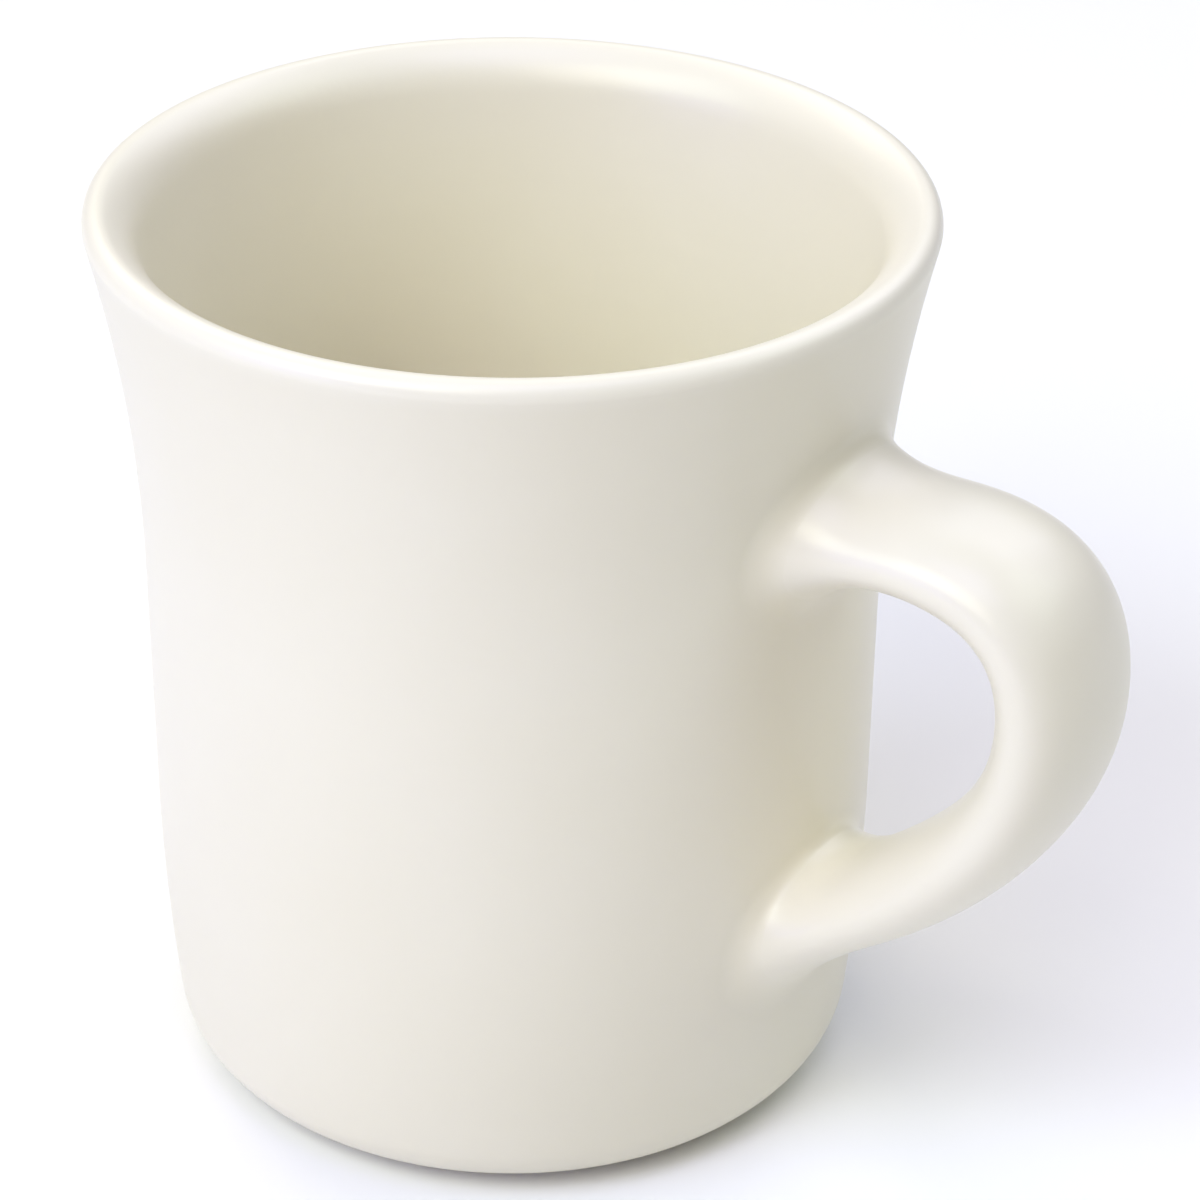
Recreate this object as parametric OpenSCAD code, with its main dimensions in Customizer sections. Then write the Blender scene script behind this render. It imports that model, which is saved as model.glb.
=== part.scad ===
// Flared ceramic mug: a jiggered cup, a cast handle, and the two beads of slip that join them.
// Millimetres. The origin is the centre of the foot, +Z is up, and the handle lies along +X.

/* [Cup] */
// Height of the cup from the table to the lip
cup_h = 96; // [86:1:120]
// Largest diameter of the lip
rim_d = 83.6; // [80:0.1:102]
// Diameter of the straight part of the wall
waist_d = 75.1; // [60:0.1:79]
// Height of the flare, measured down from the top of the lip
flare_h = 38.5; // [30:0.5:50]
// Thickness of the wall at the waist
wall_t = 5; // [3.5:0.1:6]
// Thickness of the rounded lip
lip_t = 3.1; // [2.4:0.1:3.8]
// Radius of the roll that leads from the lip down into the cup
roll_r = 7; // [3:0.5:10]
// Height at which the heel begins to draw in
belly_z = 30.7; // [22:0.1:36]
// How far the heel draws in before the corner
heel_in = 1.2; // [0.2:0.1:2]
// Radius of the bottom corner
corner_r = 5.6; // [4:0.1:8]
// Radius of the corner inside, between wall and floor
inner_corner_r = 10; // [6:0.5:14]
// Thickness of the floor above the recess
floor_t = 6; // [4:0.5:8]

/* [Foot] */
// How far the foot ring stands in from the straight part of the wall
foot_inset = 7.6; // [7:0.1:12]
// Width of the foot ring
foot_w = 3.4; // [2.5:0.1:5]
// Height of the foot ring below the bottom corner
foot_h = 1; // [0.6:0.1:2]
// Depth of the recess under the floor
recess_h = 2.5; // [1.8:0.1:4]
// Radius of the two edges of the foot ring
foot_edge_r = 0.5; // [0.3:0.1:0.6]

/* [Handle] */
// Distance from the lip down to the middle of the upper root
upper_root_drop = 23.9; // [21:0.1:30]
// Height of the middle of the lower root
lower_root_h = 27; // [21:0.1:32]
// Distance from the wall to the furthest point of the handle's centre line
reach_out = 25.8; // [20:0.1:32]
// Height of that point as a share of the way from the lower root to the upper one
reach_share = 0.73; // [0.5:0.01:0.8]
// Length of the level run out of the upper root
upper_lead = 9.8; // [6:0.1:14]
// Rise of the upper shoulder over the upper root
shoulder_rise = 3.5; // [0:0.1:5]
// Length of the slanted run out of the lower root
lower_lead = 12; // [8:0.5:21]
// Angle of the lower run above the horizontal
lower_slope = 31; // [15:1:40]
// Length of the outer curve's straight pull downwards
outer_pull = 15; // [8:0.5:18]
// Thickness, seen from the side, at the upper root, middle and lower root
thick = [7.1, 9.4, 7.7];
// Width, seen from the front, at the upper root, middle and lower root
wide = [18.8, 19.3, 18.6];
// Distance from the wall at which the handle's ends begin to spread
spread_len = 11.5; // [8:0.5:14]
// Growth in thickness of the upper and lower root
spread_thick = [9, 6.6];
// Growth in width of both roots
spread_wide = 4.4; // [0:0.1:5]

/* [Slip joints] */
// Thickness of the slip between the handle's end and the wall
slip_t = 0.5; // [0.3:0.1:1]
// Reach of the fillet above the root, on wall and handle
fillet_above = 1.9; // [1:0.1:3]
// Reach of the fillet beside the root
fillet_side = 2.4; // [1.5:0.1:4]
// Reach of the fillet below the root
fillet_below = 2.4; // [1.5:0.1:4]

/* [Hidden] */

$fn = 96;
around = 36;      // points around a handle section
along = 52;       // stations along the handle, closer together near its ends
arc_steps = 20;   // points on a long arc of the cup
bead_steps = 7;   // rings across a fillet
cap_rings = 4;    // rings on the saddle-shaped end of the handle
pad_rings = 7;    // rings on the wall side of a slip joint
fit_gap = 0.03;   // clearance of a slip joint from the wall and round the handle
edge_t = 0.12;    // thickness of a fillet at its feathered edge
blend_len = 12;   // length over which a saddled end turns square

// ---- Cup ----
waist_r = waist_d / 2;
waist_z = cup_h - flare_h;
lip_r = lip_t / 2;
lip_c = [rim_d / 2 - lip_r, cup_h - lip_r];
lip_turn = 120;   // angle at which the lip's round passes into the roll
roll_c = lip_c - (roll_r - lip_r) * [cos(lip_turn), sin(lip_turn)];

// The flare is one arc that leaves the waist upright and meets the lip's round without a corner.
flare_a = 2 * atan((rim_d / 2 - waist_r) / (lip_c.y - waist_z));
flare_r = (lip_c.y - waist_z) / sin(flare_a) - lip_r;

// The heel's arc leaves the belly upright and meets the corner's arc in the same way.
corner_z = foot_h + corner_r;
heel_a = 2 * atan(heel_in / (belly_z - corner_z));
heel_r = (belly_z - corner_z) / sin(heel_a) + corner_r;
corner_c = [waist_r - heel_in, corner_z] - [corner_r, 0];

// The inner flare starts a little above the outer one, so the wall thins towards the lip.
inner_r = waist_r - wall_t;
inner_z = waist_z + 5;
inner_a = 2 * atan((roll_c.x - roll_r - inner_r) / (roll_c.y - inner_z));
inner_flare_r = (roll_c.y - inner_z) / sin(inner_a) + roll_r;
floor_z = recess_h + floor_t;

foot_ro = waist_r - foot_inset;
foot_ri = foot_ro - foot_w;

// Points of an arc about centre c, from angle a0 to a1.
function arc(c, r, a0, a1, n) = [for (i = [0 : n]) let (a = a0 + (a1 - a0) * i / n) c + r * [cos(a), sin(a)]];

// Radius of the cup's outer wall at height z, from the corner up to the lip.
function outer_r(z) =
    z > waist_z ? waist_r + flare_r - sqrt(pow(flare_r, 2) - pow(z - waist_z, 2)) :
    z > belly_z ? waist_r :
    waist_r - heel_r + sqrt(pow(heel_r, 2) - pow(belly_z - z, 2));

cup_outline = concat(
    [[0, recess_h]],
    arc([foot_ri - recess_h, 0], recess_h, 90, 30, 6),
    arc([foot_ri + foot_edge_r, foot_edge_r], foot_edge_r, 180, 270, 4),
    arc([foot_ro - foot_edge_r, foot_edge_r], foot_edge_r, 270, 360, 4),
    arc(corner_c, corner_r, -82, -heel_a, arc_steps),
    arc([waist_r - heel_r, belly_z], heel_r, -heel_a, 0, 8),
    arc([waist_r + flare_r, waist_z], flare_r, 180, 180 - flare_a, arc_steps),
    arc(lip_c, lip_r, -flare_a, lip_turn, 16),
    arc(roll_c, roll_r, lip_turn, 180 - inner_a, 10),
    arc([inner_r + inner_flare_r, inner_z], inner_flare_r, 180 - inner_a, 180, arc_steps),
    arc([inner_r - inner_corner_r, floor_z + inner_corner_r], inner_corner_r, 0, -90, 12),
    [[0, floor_z]]
);

module cup() {
    color("ivory") rotate_extrude() polygon(cup_outline);
}

// ---- Handle ----
upper_z = cup_h - upper_root_drop;
lower_z = lower_root_h;
reach = waist_r + reach_out;
reach_z = lower_z + (upper_z - lower_z) * reach_share;
upper_root = [outer_r(upper_z) + slip_t, upper_z];
lower_root = [outer_r(lower_z) + slip_t, lower_z];

// The centre line is two cubic curves that meet, upright, at the furthest point.
upper_curve = [
    upper_root,
    upper_root + [upper_lead, shoulder_rise * 0.6],
    [reach, upper_z + shoulder_rise],
    [reach, reach_z]
];
lower_curve = [
    [reach, reach_z],
    [reach, reach_z - outer_pull],
    lower_root + lower_lead * [cos(lower_slope), sin(lower_slope)],
    lower_root
];

function cubic(p, t) =
    pow(1 - t, 3) * p[0] + 3 * pow(1 - t, 2) * t * p[1] + 3 * (1 - t) * pow(t, 2) * p[2] + pow(t, 3) * p[3];
function cubic_slope(p, t) =
    pow(1 - t, 2) * (p[1] - p[0]) + 2 * (1 - t) * t * (p[2] - p[1]) + pow(t, 2) * (p[3] - p[2]);
function unit(v) = v / norm(v);

// Place and direction at s, from 0 at the upper root to 1 at the lower one.
function line_at(s) = s < 0.5 ? cubic(upper_curve, 2 * s) : cubic(lower_curve, 2 * s - 1);
function heading_at(s) = unit(s < 0.5 ? cubic_slope(upper_curve, 2 * s) : cubic_slope(lower_curve, 2 * s - 1));

// Value at s of a smooth run through three values.
function through(v, s) = v[0] * (1 - s) * (1 - 2 * s) + v[1] * 4 * s * (1 - s) + v[2] * s * (2 * s - 1);

function end_of(s) = s < 0.5 ? 0 : 1;

// How far the section has spread at s: 1 at a root, falling to 0 along the handle.
function spread_at(s) = pow(max(0, 1 - norm(line_at(s) - line_at(end_of(s))) / spread_len), 3);
function thick_at(s) = through(thick, s) + spread_thick[end_of(s)] * spread_at(s);
function wide_at(s) = through(wide, s) + spread_wide * spread_at(s);

// Point of the plain section at s and angle w; size scales the section.
function section_point(s, w, size = 1) =
    let (c = line_at(s), h = heading_at(s), u = size * thick_at(s) / 2 * cos(w), v = size * wide_at(s) / 2 * sin(w))
    [c.x - h.y * u, v, c.y + h.x * u];

// Slides p along direction h, in the XZ plane, onto the wall grown by gap.
function onto_wall(p, h, gap, tries = 4) =
    tries == 0 ? p :
    let (x = sqrt(pow(outer_r(p.z) + gap, 2) - pow(p.y, 2)), k = (x - p.x) / h.x)
    onto_wall(p + k * [h.x, 0, h.y], h, gap, tries - 1);

// Point of the finished handle: near a root the section leans so that its end lies on the wall.
function handle_point(s, w) =
    let (end = end_of(s), p = section_point(s, w), q = section_point(end, w),
         lean = onto_wall(q, heading_at(end), slip_t) - q,
         d = norm(line_at(s) - line_at(end)), share = pow(max(0, 1 - d / blend_len), 2))
    p + share * lean;
function angle_of(j) = 360 * j / around;
function handle_ring(s) = [for (j = [0 : around - 1]) handle_point(s, angle_of(j))];
// Ring on the saddle-shaped end, shrunk to size, gap away from the wall.
function saddle_ring(end, size, gap) =
    [for (j = [0 : around - 1]) onto_wall(section_point(end, angle_of(j), size), heading_at(end), gap)];
function saddle_middle(end, gap) = onto_wall(section_point(end, 0, 0), heading_at(end), gap);

function reversed(v) = [for (i = [len(v) - 1 : -1 : 0]) v[i]];

// Closed solid over rings of equal length, with a single point at each end.
module skin(first, rings, last, inside_out = false) {
    n = len(rings[0]);
    m = len(rings);
    points = concat([first], [for (r = rings) each r], [last]);
    faces = concat(
        [for (j = [0 : n - 1]) [0, 1 + (j + 1) % n, 1 + j]],
        [for (i = [0 : m - 2], j = [0 : n - 1]) [1 + i * n + j, 1 + i * n + (j + 1) % n, 1 + (i + 1) * n + j]],
        [for (i = [0 : m - 2], j = [0 : n - 1])
            [1 + i * n + (j + 1) % n, 1 + (i + 1) * n + (j + 1) % n, 1 + (i + 1) * n + j]],
        [for (j = [0 : n - 1]) [m * n + 1, 1 + (m - 1) * n + j, 1 + (m - 1) * n + (j + 1) % n]]
    );
    polyhedron(points, inside_out ? [for (f = faces) reversed(f)] : faces);
}

module handle() {
    crowding = 0.6;   // 0 spaces the stations evenly
    stations = [for (i = [0 : along]) i / along - crowding * sin(360 * i / along) / (2 * PI)];
    rings = concat(
        [for (k = [1 : cap_rings - 1]) saddle_ring(0, k / cap_rings, slip_t)],
        [for (s = stations) handle_ring(s)],
        [for (k = [cap_rings - 1 : -1 : 1]) saddle_ring(1, k / cap_rings, slip_t)]
    );
    color("floralwhite") skin(saddle_middle(0, slip_t), rings, saddle_middle(1, slip_t));
}

// ---- Slip joints ----
// Reach of the fillet at angle w of the root's outline.
function fillet_at(end, w) =
    let (up = end == 0 ? cos(w) : -cos(w), other = up > 0 ? fillet_above : fillet_below)
    fillet_side + (other - fillet_side) * pow(up, 2);

// Share of the handle's length at distance d from its root.
function share_at(end, d) =
    let (length = norm(line_at(end) - line_at(abs(end - 1 / along))) * along) abs(end - d / length);

// Point on the wall at distance d outside the root's outline.
function wall_point(end, w, d, gap) =
    let (p = onto_wall(section_point(end, w), heading_at(end), gap),
         out = unit([sin(w) / wide_at(end), cos(w) / thick_at(end)]) * d,
         turn = atan2(p.y, p.x) + out.x / outer_r(p.z) * 180 / PI,
         z = p.z + (end == 0 ? out.y : -out.y), r = outer_r(z) + gap)
    [r * cos(turn), r * sin(turn), z];

// One ring of the bead, from the handle (t = 0) to the wall (t = 1).
function bead_ring(end, t) =
    [for (j = [0 : around - 1])
        let (w = angle_of(j), f = fillet_at(end, w), s = share_at(end, f),
             corner = onto_wall(section_point(end, w), heading_at(end), fit_gap),
             out = unit(section_point(s, w) - section_point(s, w, 0)),
             top = handle_point(s, w) + edge_t * out, foot = wall_point(end, w, f, fit_gap + edge_t))
        cubic([top, top + 0.6 * (corner - top), foot + 0.6 * (corner - foot), foot], t)];

// Point on the handle at distance d from the root, with the fit's clearance.
function collar_point(end, w, d) =
    let (s = share_at(end, d), out = unit(section_point(s, w) - section_point(s, w, 0)))
    handle_point(s, w) + fit_gap * out;

// Starts at the middle of the handle's end, runs out along the handle, over the bead and back along the wall.
module slip_joint(end) {
    on_end = [for (k = [1 : cap_rings]) saddle_ring(end, k / cap_rings, slip_t)];
    on_handle = [for (k = [0 : 3])
        [for (j = [0 : around - 1]) collar_point(end, angle_of(j), fillet_at(end, angle_of(j)) * k / 3)]];
    bead = [for (i = [0 : bead_steps]) bead_ring(end, i / bead_steps)];
    on_wall = [for (k = [pad_rings : -1 : 1]) let (size = k / pad_rings)
        [for (j = [0 : around - 1])
            let (w = angle_of(j), p = wall_point(end, w, fillet_at(end, w), fit_gap),
                 m = saddle_middle(end, fit_gap), y = p.y * size, z = m.z + (p.z - m.z) * size)
            [sqrt(pow(outer_r(z) + fit_gap, 2) - y * y), y, z]]];
    rings = concat(on_end, on_handle, bead, on_wall);
    on_end_middle = saddle_middle(end, slip_t);
    on_wall_middle = saddle_middle(end, fit_gap);
    if (end == 0) skin(on_end_middle, rings, on_wall_middle, true);
    else skin(on_wall_middle, reversed(rings), on_end_middle, true);
}

module upper_slip_joint() {
    color("wheat") slip_joint(0);
}

module lower_slip_joint() {
    color("wheat") slip_joint(1);
}

cup();
handle();
upper_slip_joint();
lower_slip_joint();
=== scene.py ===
import math

import bmesh
import bpy
from mathutils import Matrix, Vector


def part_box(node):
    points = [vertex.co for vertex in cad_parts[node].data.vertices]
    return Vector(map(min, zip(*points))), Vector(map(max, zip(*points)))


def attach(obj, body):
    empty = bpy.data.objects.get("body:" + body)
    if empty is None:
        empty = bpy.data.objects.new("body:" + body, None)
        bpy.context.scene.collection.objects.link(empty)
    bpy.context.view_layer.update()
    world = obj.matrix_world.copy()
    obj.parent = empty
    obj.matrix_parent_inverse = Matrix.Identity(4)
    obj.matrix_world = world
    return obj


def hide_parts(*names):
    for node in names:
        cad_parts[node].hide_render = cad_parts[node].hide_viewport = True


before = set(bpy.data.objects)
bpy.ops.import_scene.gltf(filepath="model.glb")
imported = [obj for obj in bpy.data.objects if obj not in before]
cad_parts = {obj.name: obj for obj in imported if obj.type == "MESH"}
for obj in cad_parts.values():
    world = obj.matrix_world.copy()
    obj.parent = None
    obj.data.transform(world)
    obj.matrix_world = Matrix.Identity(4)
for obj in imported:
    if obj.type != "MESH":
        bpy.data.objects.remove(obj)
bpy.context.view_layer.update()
mm = 0.001

# what a user would change, in millimetres and degrees
cupShape = {
    "waistDiameter": 75.1,
    "flareHeight": 38.5,
    "wallThickness": 5.0,
    "lipThickness": 3.1,
    "lipTurn": 120.0,       # degrees over which the lip is tight before it rolls down inside
    "rollRadius": 7.0,
    "bellyHeight": 30.7,
    "heelIn": 1.2,
    "cornerRadius": 5.6,
    "innerCornerRadius": 10.0,
    "innerFlareStart": 5.0,
    "floorThickness": 6.0,
    "footInset": 7.6,
    "footWidth": 3.4,
    "footHeight": 1.0,
    "recessDepth": 2.5,
    "footEdge": 0.5,
    "recessTurn": 60.0,     # degrees of the arc from the recess down to the foot
    "cornerStart": -82.0,   # degrees at which the bottom corner's arc begins
    "around": 288,
}


def cornersOf(box):
    low, high = box
    return Vector(low), Vector(high)


cupLow, cupHigh = cornersOf(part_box("cup"))
cupHeight = (cupHigh.z - cupLow.z) / mm
rimRadius = (cupHigh.x - cupLow.x) / 2 / mm


def cupNumbers(shape):
    # arcs that meet without a corner: the flare with the lip, and the heel with the bottom corner
    waist = shape["waistDiameter"] / 2
    waistZ = cupHeight - shape["flareHeight"]
    lip = shape["lipThickness"] / 2
    lipX, lipZ = rimRadius - lip, cupHeight - lip
    flareAngle = 2 * math.atan((rimRadius - waist) / (lipZ - waistZ))
    cornerZ = shape["footHeight"] + shape["cornerRadius"]
    heelAngle = 2 * math.atan(shape["heelIn"] / (shape["bellyHeight"] - cornerZ))
    inner = waist - shape["wallThickness"]
    innerZ = waistZ + shape["innerFlareStart"]
    roll = shape["rollRadius"]
    lipTurn = math.radians(shape["lipTurn"])
    rollX, rollZ = lipX - (roll - lip) * math.cos(lipTurn), lipZ - (roll - lip) * math.sin(lipTurn)
    innerAngle = 2 * math.atan((rollX - roll - inner) / (rollZ - innerZ))
    return {
        "waist": waist, "waistZ": waistZ, "lip": lip, "lipX": lipX, "lipZ": lipZ,
        "flareAngle": flareAngle, "flareRadius": (lipZ - waistZ) / math.sin(flareAngle) - lip,
        "cornerZ": cornerZ, "heelAngle": heelAngle,
        "heelRadius": (shape["bellyHeight"] - cornerZ) / math.sin(heelAngle) + shape["cornerRadius"],
        "lipTurn": lipTurn, "rollX": rollX, "rollZ": rollZ,
        "inner": inner, "innerZ": innerZ, "innerAngle": innerAngle,
        "innerFlareRadius": (rollZ - innerZ) / math.sin(innerAngle) + roll,
        "floorZ": shape["recessDepth"] + shape["floorThickness"],
        "footOut": waist - shape["footInset"],
        "footIn": waist - shape["footInset"] - shape["footWidth"],
    }


cup = cupNumbers(cupShape)


def wallRadius(z):
    # outer radius of the cup at height z, in millimetres
    if z > cup["waistZ"]:
        flare = cup["flareRadius"]
        return cup["waist"] + flare - math.sqrt(flare ** 2 - (z - cup["waistZ"]) ** 2)
    belly = cupShape["bellyHeight"]
    if z > belly:
        return cup["waist"]
    return cup["waist"] - cup["heelRadius"] + math.sqrt(cup["heelRadius"] ** 2 - (belly - z) ** 2)


def lineTo(bm, vert, x, z, steps=1):
    start = vert.co.copy()
    end = Vector((x, 0, z)) * mm
    for step in range(1, steps + 1):
        vert = bmesh.ops.extrude_vert_indiv(bm, verts=[vert])["verts"][0]
        vert.co = start.lerp(end, step / steps)
    return vert


def arcTo(bm, vert, x, z, turn, steps):
    # swings the outline's last point about a centre, anticlockwise where turn is positive
    centre = Vector((x, 0, z)) * mm
    made = bmesh.ops.spin(bm, geom=[vert], cent=centre, axis=(0, -1, 0), angle=turn, steps=steps)
    return next(part for part in made["geom_last"] if isinstance(part, bmesh.types.BMVert))


def finishMesh(bm, name, material):
    bmesh.ops.remove_doubles(bm, verts=bm.verts, dist=0.0005 * mm)
    bmesh.ops.recalc_face_normals(bm, faces=bm.faces)
    for face in bm.faces:
        face.smooth = True
    mesh = bpy.data.meshes.new(name)
    bm.to_mesh(mesh)
    bm.free()
    piece = bpy.data.objects.new(name, mesh)
    bpy.context.scene.collection.objects.link(piece)
    piece.data.materials.append(material)
    return piece


def makeCup(shape, material):
    bm = bmesh.new()
    edge, corner = shape["footEdge"], shape["cornerRadius"]
    recess = shape["recessDepth"]
    vert = bmesh.ops.create_vert(bm, co=Vector((0, 0, recess)) * mm)["vert"][0]
    vert = lineTo(bm, vert, cup["footIn"] - recess, recess, 8)
    vert = arcTo(bm, vert, cup["footIn"] - recess, 0, -math.radians(shape["recessTurn"]), 8)
    vert = lineTo(bm, vert, cup["footIn"], edge, 2)
    vert = arcTo(bm, vert, cup["footIn"] + edge, edge, math.radians(90), 6)
    vert = lineTo(bm, vert, cup["footOut"] - edge, 0, 4)
    vert = arcTo(bm, vert, cup["footOut"] - edge, edge, math.radians(90), 6)
    cornerX = cup["waist"] - shape["heelIn"] - corner
    start = math.radians(shape["cornerStart"])
    vert = lineTo(bm, vert, cornerX + corner * math.cos(start), cup["cornerZ"] + corner * math.sin(start), 2)
    vert = arcTo(bm, vert, cornerX, cup["cornerZ"], -cup["heelAngle"] - start, 22)
    vert = arcTo(bm, vert, cup["waist"] - cup["heelRadius"], shape["bellyHeight"], cup["heelAngle"], 14)
    vert = lineTo(bm, vert, cup["waist"], cup["waistZ"], 10)
    vert = arcTo(bm, vert, cup["waist"] + cup["flareRadius"], cup["waistZ"], -cup["flareAngle"], 26)
    vert = arcTo(bm, vert, cup["lipX"], cup["lipZ"], cup["lipTurn"] + cup["flareAngle"], 20)
    vert = arcTo(bm, vert, cup["rollX"], cup["rollZ"], math.pi - cup["innerAngle"] - cup["lipTurn"], 14)
    vert = arcTo(bm, vert, cup["inner"] + cup["innerFlareRadius"], cup["innerZ"], cup["innerAngle"], 22)
    innerCorner = shape["innerCornerRadius"]
    vert = lineTo(bm, vert, cup["inner"], cup["floorZ"] + innerCorner, 12)
    vert = arcTo(bm, vert, cup["inner"] - innerCorner, cup["floorZ"] + innerCorner, math.radians(-90), 16)
    lineTo(bm, vert, 0, cup["floorZ"], 10)
    bmesh.ops.spin(
        bm, geom=bm.verts[:] + bm.edges[:], cent=(0, 0, 0), axis=(0, 0, 1),
        angle=math.tau, steps=shape["around"], use_merge=True,
    )
    return finishMesh(bm, "glazed_cup", material)


handleShape = {
    "upperRootDrop": 23.9,
    "lowerRootHeight": 27.0,
    "reachOut": 25.8,
    "reachShare": 0.73,
    "upperLead": 9.8,
    "shoulderRise": 3.5,
    "lowerLead": 12.0,
    "lowerSlope": 31.0,
    "outerPull": 15.0,
    "thick": (7.1, 9.4, 7.7),      # upper root, middle, lower root
    "wide": (18.8, 19.3, 18.6),
    "squareness": 2.15,            # 2 is an ellipse
    "spreadLength": 11.5,          # how far from the wall the ends begin to spread
    "spreadThick": (9.0, 6.6),
    "spreadWide": 4.4,
    "slip": 0.5,
    "fitLength": 12.0,             # over this length the ends turn to the curve of the wall
    "intoWall": 2.0,
    "around": 96,
    "along": 128,
}


def handleCurves(shape):
    upperZ = cupHeight - shape["upperRootDrop"]
    lowerZ = shape["lowerRootHeight"]
    upperRoot = Vector((wallRadius(upperZ) + shape["slip"], 0, upperZ))
    lowerRoot = Vector((wallRadius(lowerZ) + shape["slip"], 0, lowerZ))
    reach = cup["waist"] + shape["reachOut"]
    reachZ = lowerZ + (upperZ - lowerZ) * shape["reachShare"]
    furthest = Vector((reach, 0, reachZ))
    slope = math.radians(shape["lowerSlope"])
    upper = [
        upperRoot,
        upperRoot + Vector((shape["upperLead"], 0, shape["shoulderRise"] * 0.6)),
        Vector((reach, 0, upperZ + shape["shoulderRise"])),
        furthest,
    ]
    lower = [
        furthest,
        furthest - Vector((0, 0, shape["outerPull"])),
        lowerRoot + shape["lowerLead"] * Vector((math.cos(slope), 0, math.sin(slope))),
        lowerRoot,
    ]
    return upper, lower


upperCurve, lowerCurve = handleCurves(handleShape)


def bezier(points, t):
    # any number of control points
    points = list(points)
    while len(points) > 1:
        points = [a.lerp(b, t) for a, b in zip(points, points[1:])]
    return points[0]


def lineAt(s):
    return bezier(upperCurve, 2 * s) if s < 0.5 else bezier(lowerCurve, 2 * s - 1)


def headingAt(s):
    points, t = (upperCurve, 2 * s) if s < 0.5 else (lowerCurve, 2 * s - 1)
    return bezier([b - a for a, b in zip(points, points[1:])], t).normalized()


def through(values, s):
    # smooth run through three values at 0, a half and 1
    return values[0] * (1 - s) * (1 - 2 * s) + values[1] * 4 * s * (1 - s) + values[2] * s * (2 * s - 1)


def spreadAt(s):
    # 1 at a root, falling to 0 along the handle
    end = 0 if s < 0.5 else 1
    away = (lineAt(s) - lineAt(end)).length
    return max(0.0, 1 - away / handleShape["spreadLength"]) ** 3


def sectionPoint(s, angle, size=1.0):
    shape = handleShape
    s = min(max(s, 0.0), 1.0)
    heading, spread = headingAt(s), spreadAt(s)
    power = 2 / shape["squareness"]
    thick = through(shape["thick"], s) + shape["spreadThick"][s > 0.5] * spread
    wide = through(shape["wide"], s) + shape["spreadWide"] * spread
    c, d = math.cos(angle), math.sin(angle)
    u = size * thick / 2 * math.copysign(abs(c) ** power, c)
    v = size * wide / 2 * math.copysign(abs(d) ** power, d)
    return lineAt(s) + Vector((-heading.z * u, v, heading.x * u))


def ontoWall(point, heading, gap=0.0):
    # slides a point along a heading, in the XZ plane, onto the wall
    for _ in range(6):
        x = math.sqrt((wallRadius(point.z) + gap) ** 2 - point.y ** 2)
        point = point + heading * ((x - point.x) / heading.x)
    return point


def handlePoint(s, angle, size=1.0):
    # near the wall the section slides along the handle, so that its end fits the wall
    end = 0 if s < 0.5 else 1
    root = sectionPoint(end, angle, size)
    away = (lineAt(s) - lineAt(end)).length
    share = max(0.0, 1 - away / handleShape["fitLength"]) ** 2
    return sectionPoint(s, angle, size) + (ontoWall(root, headingAt(end)) - root) * share


def newRing(bm, edges, place, pool_and_crease_shade=0.0):
    # draws the open end of a tube out by one ring and puts each of its points in place
    order, pooled_glaze_and_crease_shade = bm.verts.layers.int["order"], bm.verts.layers.float.get("pool_and_crease_shade")
    made = bmesh.ops.extrude_edge_only(bm, edges=edges)["geom"]
    for part in made:
        if isinstance(part, bmesh.types.BMVert):
            part.co = place(part[order]) * mm
            # on a bead, the crease mask: partly glaze pooling, partly painted shade
            if pooled_glaze_and_crease_shade:
                part[pooled_glaze_and_crease_shade] = pool_and_crease_shade
    verts = {part for part in made if isinstance(part, bmesh.types.BMVert)}
    sides = [part for part in made if isinstance(part, bmesh.types.BMEdge)]
    return [edge for edge in sides if all(vert in verts for vert in edge.verts)]


def firstRing(bm, count, place):
    order = bm.verts.layers.int.new("order")
    made = bmesh.ops.create_circle(bm, cap_ends=False, radius=mm, segments=count)["verts"]
    for index, vert in enumerate(made):
        vert[order] = index
        vert.co = place(index) * mm
    return list({edge for vert in made for edge in vert.link_edges})


def makeHandle(shape, material):
    bm = bmesh.new()
    count, along = shape["around"], shape["along"]
    turn = math.tau / count

    def inWall(s, size, depth):
        out = headingAt(s) * (-1 if s == 0 else 1)
        return lambda index: handlePoint(s, index * turn, size) + out * depth

    edges = firstRing(bm, count, inWall(0, 0, shape["intoWall"]))
    for size in (0.5, 0.9, 1.0):
        edges = newRing(bm, edges, inWall(0, size, shape["intoWall"]))
    for step in range(along + 1):
        edges = newRing(bm, edges, lambda index, s=step / along: handlePoint(s, index * turn))
    for size in (1.0, 0.9, 0.5, 0):
        edges = newRing(bm, edges, inWall(1, size, shape["intoWall"]))
    return finishMesh(bm, "glazed_handle", material)


jointShape = {
    "above": 1.9,
    "beside": 2.4,
    "below": 2.4,
    "pull": 0.36,         # how full the fillet is
    "tuck": 0.006,        # how far its edges dip under wall and handle
    "intoWall": 1.2,
    "rings": 20,
    "around": 96,
}


def shareAt(end, distance):
    length = (lineAt(end) - lineAt(abs(end - 0.01))).length * 100
    return abs(end - distance / length)


def filletReach(end, angle, shape):
    up = math.cos(angle) if end == 0 else -math.cos(angle)
    other = shape["above"] if up > 0 else shape["below"]
    return shape["beside"] + (other - shape["beside"]) * up * up


def onWallBeside(end, angle, distance, gap):
    # the point of the wall at a distance outside the root's outline
    point = ontoWall(sectionPoint(end, angle), headingAt(end), gap)
    before, after = (sectionPoint(end, angle + step) for step in (-0.01, 0.01))
    along = Vector((after.y - before.y, after.z - before.z)).normalized() * distance
    out = Vector((-along.y, along.x)) if end == 0 else Vector((along.y, -along.x))
    turn = math.atan2(point.y, point.x) + out.x / wallRadius(point.z)
    z = point.z + out.y
    radius = wallRadius(z) + gap
    return Vector((radius * math.cos(turn), radius * math.sin(turn), z))


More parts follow.
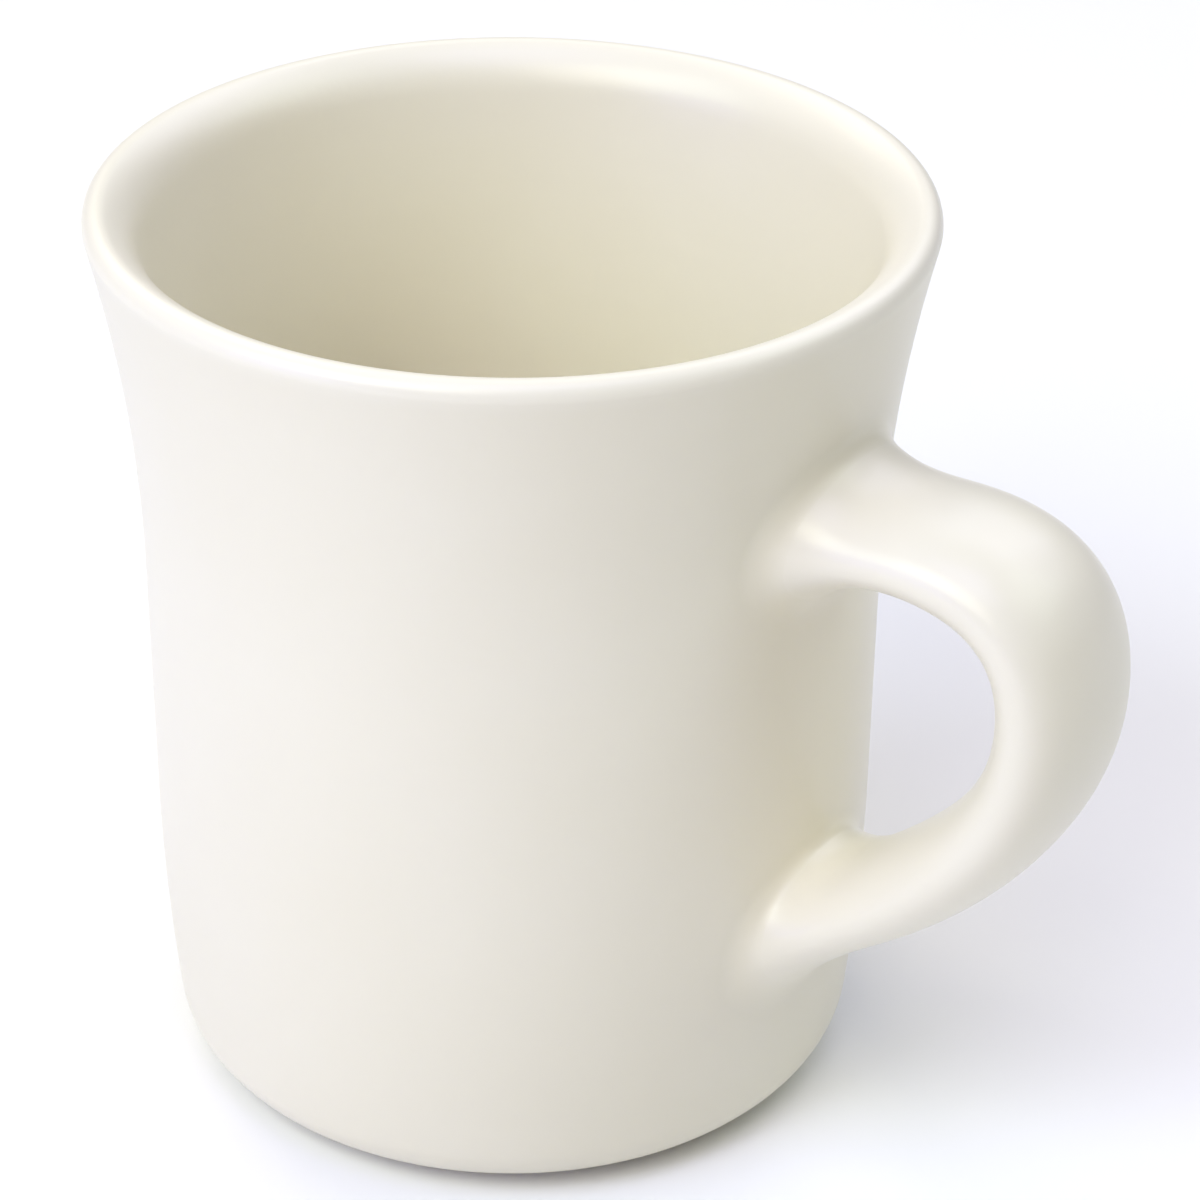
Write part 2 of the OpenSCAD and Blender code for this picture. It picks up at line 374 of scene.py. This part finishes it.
def beadPoint(end, angle, t, shape):
    # one curve of the bead, from the handle, through the crease, to the wall
    reach, tuck = filletReach(end, angle, shape), shape["tuck"]
    crease = handlePoint(end, angle)
    s = shareAt(end, reach)
    top = handlePoint(s, angle)
    towards = (handlePoint(shareAt(end, reach - 0.05), angle) - top).normalized()
    top += (handlePoint(s, angle, 0) - top).normalized() * tuck
    foot = onWallBeside(end, angle, reach, -tuck)
    back = (onWallBeside(end, angle, reach - 0.05, -tuck) - foot).normalized()
    a = towards * (crease - top).length * shape["pull"]
    b = back * (crease - foot).length * shape["pull"]
    return bezier([top, top + a, top + 2 * a, foot + 2 * b, foot + b, foot], t)


def makeJoint(end, name, shape, material):
    bm = bmesh.new()
    count, rings = shape["around"], shape["rings"]
    turn = math.tau / count
    middle = handlePoint(shareAt(end, shape["above"]), 0, 0)

    def inHandle(size):
        return lambda index: middle.lerp(beadPoint(end, index * turn, 0, shape), size)

    def inWall(size):
        def place(index):
            angle = index * turn
            foot = onWallBeside(end, angle, filletReach(end, angle, shape), -shape["intoWall"])
            centre = ontoWall(sectionPoint(end, 0, 0), headingAt(end), -shape["intoWall"])
            y, z = foot.y * size, centre.z + (foot.z - centre.z) * size
            return Vector((math.sqrt((wallRadius(z) - shape["intoWall"]) ** 2 - y * y), y, z))
        return place

    bm.verts.layers.float.new("pool_and_crease_shade")
    edges = firstRing(bm, count, inHandle(0))
    for size in (0.4, 0.8):
        edges = newRing(bm, edges, inHandle(size))
    # the crease mask is highest in the middle of the bead, where the colour is darkened: partly glaze
    # pooling, partly painted shade
    for step in range(rings + 1):
        t = step / rings
        edges = newRing(
            bm, edges, lambda index, t=t: beadPoint(end, index * turn, t, shape), math.sin(math.pi * t) ** 2,
        )
    for size in (1.0, 0.66, 0.33, 0):
        edges = newRing(bm, edges, inWall(size))
    return finishMesh(bm, name, material)


glazeLook = {
    "cream": (0.82, 0.78, 0.65, 1),
    "deep": (0.80, 0.757, 0.615, 1),       # where the glaze lies thicker
    "thin": (0.84, 0.805, 0.69, 1),        # where it draws back, on the lip
    "pooled_glaze_and_crease_shade": (0.79, 0.745, 0.60, 1),      # darker in the crease of a joint: partly glaze that pools there, partly painted shade of the crease
    "bareClay": (0.63, 0.55, 0.43, 1),
    "clayFleck": (0.47, 0.38, 0.28, 1),
    "shine": (0.285, 0.335),               # least and most roughness
    "shineScale": 55.0,                    # all scales are per metre
    "bareShine": 0.8,
    "gloss": (0.5, 0.15),                  # strength of reflections, glazed and bare
    "driftScale": 22.0,                    # patches of colour
    "peelScale": 750.0,                    # fine unevenness
    "peelDepth": 0.012,                    # all depths and heights are in millimetres
    "waveScale": 42.0,                     # slow waves of the surface
    "waveDepth": 0.03,
    "ringSpacing": 3.4,                    # faint rings from the wheel
    "ringDepth": 0.006,
    "thinHeight": 3.0,                     # over which the glaze thins towards the lip
    "thinShare": 0.8,
    "glazeLine": 0.7,                      # height above the table at which the glaze ends
    "lineSoftness": 0.08,
    "lineScale": 240.0,
    "lineWander": 0.6,
    "fleckScale": 1500.0,
}
waveFactor = 20    # a wave texture turns this many radians a unit at a scale of 1


def addNode(tree, kind, values=(), **settings):
    node = tree.nodes.new(kind)
    for key, value in settings.items():
        setattr(node, key, value)
    for key, value in dict(values).items():
        node.inputs[key].default_value = value
    return node


def mixColours(tree, share, first, second):
    mix = addNode(tree, "ShaderNodeMix", data_type="RGBA")
    tree.links.new(share, mix.inputs["Factor"])
    for socket, value in ((mix.inputs[6], first), (mix.inputs[7], second)):
        if isinstance(value, tuple):
            socket.default_value = value
        else:
            tree.links.new(value, socket)
    return mix.outputs[2]


def rangeOf(tree, value, low, high, toLow=0.0, toHigh=1.0):
    ranged = addNode(tree, "ShaderNodeMapRange", {1: low, 2: high, 3: toLow, 4: toHigh})
    tree.links.new(value, ranged.inputs[0])
    return ranged.outputs[0]


def compute(tree, operation, first, second):
    made = addNode(tree, "ShaderNodeMath", operation=operation)
    for socket, value in zip(made.inputs, (first, second)):
        if isinstance(value, (int, float)):
            socket.default_value = value
        else:
            tree.links.new(value, socket)
    return made.outputs[0]


def makeGlaze(name, look, poolsWithCreaseShade=False):
    material = bpy.data.materials.new(name)
    material.use_nodes = True
    tree = material.node_tree
    tree.nodes.clear()
    link = tree.links.new
    place = addNode(tree, "ShaderNodeTexCoord").outputs["Object"]

    def noise(scale, detail):
        made = addNode(tree, "ShaderNodeTexNoise", {"Scale": scale, "Detail": detail})
        link(place, made.inputs["Vector"])
        return made.outputs[0]

    axes = addNode(tree, "ShaderNodeSeparateXYZ")
    link(place, axes.inputs[0])
    height = axes.outputs[2]
    drift = noise(look["driftScale"], 3.0)
    colour = mixColours(tree, rangeOf(tree, drift, 0.35, 0.65), look["cream"], look["deep"])
    thinFrom = (cupHeight - look["thinHeight"]) * mm
    lip = rangeOf(tree, height, thinFrom, cupHeight * mm, 0.0, look["thinShare"])
    colour = mixColours(tree, lip, colour, look["thin"])
    # painted shade: the joint glaze is darker in the crease, partly for glaze pooling there, partly standing
    # in for the shade of the crease
    if poolsWithCreaseShade:
        pool_and_crease_shade = addNode(tree, "ShaderNodeAttribute", attribute_name="pool_and_crease_shade").outputs["Fac"]
        colour = mixColours(tree, pool_and_crease_shade, colour, look["pooled_glaze_and_crease_shade"])

    # the glaze ends a little unevenly above the foot
    line, soft = look["glazeLine"] * mm, look["lineSoftness"] * mm
    centred = compute(tree, "SUBTRACT", noise(look["lineScale"], 2.0), 0.5)
    wobble = compute(tree, "MULTIPLY", centred, look["lineWander"] * mm)
    bare = rangeOf(tree, compute(tree, "ADD", height, wobble), line + soft, line - soft)
    flecks = rangeOf(tree, noise(look["fleckScale"], 1.0), 0.62, 0.7)
    clay = mixColours(tree, flecks, look["bareClay"], look["clayFleck"])
    colour = mixColours(tree, bare, colour, clay)

    shine = rangeOf(tree, noise(look["shineScale"], 4.0), 0.3, 0.7, *look["shine"])
    rough = compute(tree, "MAXIMUM", shine, compute(tree, "MULTIPLY", bare, look["bareShine"]))

    ringScale = math.tau / look["ringSpacing"] / mm / waveFactor
    rings = addNode(
        tree, "ShaderNodeTexWave", {"Scale": ringScale, "Distortion": 1.5, "Detail Scale": 0.4},
        bands_direction="Z", wave_profile="SIN",
    )
    link(place, rings.inputs["Vector"])
    normal = None
    for relief, depth in (
        (noise(look["waveScale"], 1.0), look["waveDepth"]),
        (rings.outputs[1], look["ringDepth"]),
        (noise(look["peelScale"], 2.0), look["peelDepth"]),
    ):
        bump = addNode(tree, "ShaderNodeBump", {"Strength": 1.0, "Distance": depth * mm})
        link(relief, bump.inputs["Height"])
        if normal:
            link(normal, bump.inputs["Normal"])
        normal = bump.outputs[0]

    shader = addNode(tree, "ShaderNodeBsdfPrincipled", {"IOR": 1.5})
    link(colour, shader.inputs["Base Color"])
    link(rough, shader.inputs["Roughness"])
    link(rangeOf(tree, bare, 0.0, 1.0, *look["gloss"]), shader.inputs["Specular IOR Level"])
    link(normal, shader.inputs["Normal"])
    out = addNode(tree, "ShaderNodeOutputMaterial")
    link(shader.outputs[0], out.inputs[0])
    return material


glaze = makeGlaze("cream_glaze", glazeLook)
# joint glaze: darker in the crease, partly pooled glaze, partly painted shade
jointGlazeWithCreaseShade = makeGlaze("joint_glaze", glazeLook, poolsWithCreaseShade=True)
print("glazes made")
cupPiece = makeCup(cupShape, glaze)
print("cup made", len(cupPiece.data.polygons))
handlePiece = makeHandle(handleShape, glaze)
print("handle made", len(handlePiece.data.polygons))
upperJoint = makeJoint(0, "upper_bead", jointShape, jointGlazeWithCreaseShade)
lowerJoint = makeJoint(1, "lower_bead", jointShape, jointGlazeWithCreaseShade)
print("joints made", len(upperJoint.data.polygons))

for piece, node, slot in (
    (cupPiece, "cup", "cream_glaze"),
    (handlePiece, "handle", "cream_glaze"),
    (upperJoint, "upper_slip_joint", "joint_glaze"),
    (lowerJoint, "lower_slip_joint", "joint_glaze"),
):
    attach(piece, "root")
    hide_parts(node)


floorLook = {
    "half": 3.0,                # metres from the middle to a side
    "colour": (0.9, 0.9, 0.9, 1),
}


def makeFloor(look):
    bm = bmesh.new()
    bmesh.ops.create_grid(bm, x_segments=1, y_segments=1, size=look["half"])
    mesh = bpy.data.meshes.new("floor")
    bm.to_mesh(mesh)
    bm.free()
    floor = bpy.data.objects.new("floor", mesh)
    bpy.context.scene.collection.objects.link(floor)
    material = bpy.data.materials.new("floor_white")
    material.use_nodes = True
    shader = material.node_tree.nodes["Principled BSDF"]
    shader.inputs["Base Color"].default_value = look["colour"]
    shader.inputs["Roughness"].default_value = 1.0
    shader.inputs["Specular IOR Level"].default_value = 0.0
    floor.data.materials.append(material)


studioShape = {
    "distance": 1.0,    # metres from the aim to each softbox
    "size": 0.55,
    "aimHeight": 0.05,
    "surround": 0.2,    # strength of the even light from all round
}


def makeLight(name, azimuth, elevation, watts, tint, shape):
    light = bpy.data.lights.new(name, "AREA")
    light.shape = "SQUARE"
    light.size = shape["size"]
    light.energy = watts
    light.color = tint
    lamp = bpy.data.objects.new(name, light)
    bpy.context.scene.collection.objects.link(lamp)
    a, e = math.radians(azimuth), math.radians(elevation)
    target = Vector((0, 0, shape["aimHeight"]))
    away = Vector((math.cos(e) * math.cos(a), math.cos(e) * math.sin(a), math.sin(e)))
    lamp.location = target + shape["distance"] * away
    lamp.rotation_euler = (target - lamp.location).to_track_quat("-Z", "Y").to_euler()


viewShape = {
    "azimuth": -54.29,      # where the camera stands, seen from the cup's axis
    "reach": 324.28,        # how far out, in millimetres
    "height": 240.05,
    "pitch": 30.36,
    "yaw": 1.577,
    "roll": 0.749,
    "lens": 108.8,
    "sensor": 36,
}


def makeCamera(view):
    camera = bpy.data.objects.new("camera", bpy.data.cameras.new("camera"))
    bpy.context.scene.collection.objects.link(camera)
    camera.data.lens = view["lens"]
    camera.data.sensor_width = view["sensor"]
    camera.data.clip_start = 0.01
    azimuth = math.radians(view["azimuth"])
    place = Matrix.Translation(Vector((0, -view["reach"], view["height"])) * mm)
    stand = Matrix.Rotation(azimuth + math.pi / 2, 4, "Z") @ place
    aim = (
        Matrix.Rotation(math.radians(-view["yaw"]), 4, "Z")
        @ Matrix.Rotation(math.radians(90 - view["pitch"]), 4, "X")
        @ Matrix.Rotation(math.radians(view["roll"]), 4, "Z")
    )
    camera.matrix_world = stand @ aim
    bpy.context.scene.camera = camera


# softboxes: name, degrees to the right of the camera, elevation, watts and tint
softboxes = (
    ("key_softbox", -30, 45, 3.90, (1.00, 0.96, 0.82)),
    ("left_softbox", -60, 45, 3.67, (0.83, 0.97, 1.00)),
    ("back_left_softbox", -150, 45, 2.56, (1.00, 0.91, 0.65)),
    ("top_softbox", 0, 75, 2.54, (0.59, 0.56, 1.00)),
    ("back_softbox", 150, 45, 1.91, (0.78, 0.80, 1.00)),
    ("right_softbox", 90, 45, 1.46, (0.86, 1.00, 0.86)),
    ("right_back_softbox", 120, 45, 1.40, (0.80, 0.78, 1.00)),
    ("left_low_softbox", -60, 15, 2.01, (0.24, 0.22, 1.00)),
    ("left_back_softbox", -120, 45, 0.24, (1.00, 0.81, 0.44)),
)


makeFloor(floorLook)
world = bpy.data.worlds.new("studio")
bpy.context.scene.world = world
world.use_nodes = True
world.node_tree.nodes["Background"].inputs["Color"].default_value = (1, 1, 1, 1)
world.node_tree.nodes["Background"].inputs["Strength"].default_value = studioShape["surround"]
for name, turn, elevation, watts, tint in softboxes:
    makeLight(name, viewShape["azimuth"] + turn, elevation, watts, tint, studioShape)
makeCamera(viewShape)
print("floor, lights and camera made")
bpy.context.scene.view_settings.view_transform = "Standard"
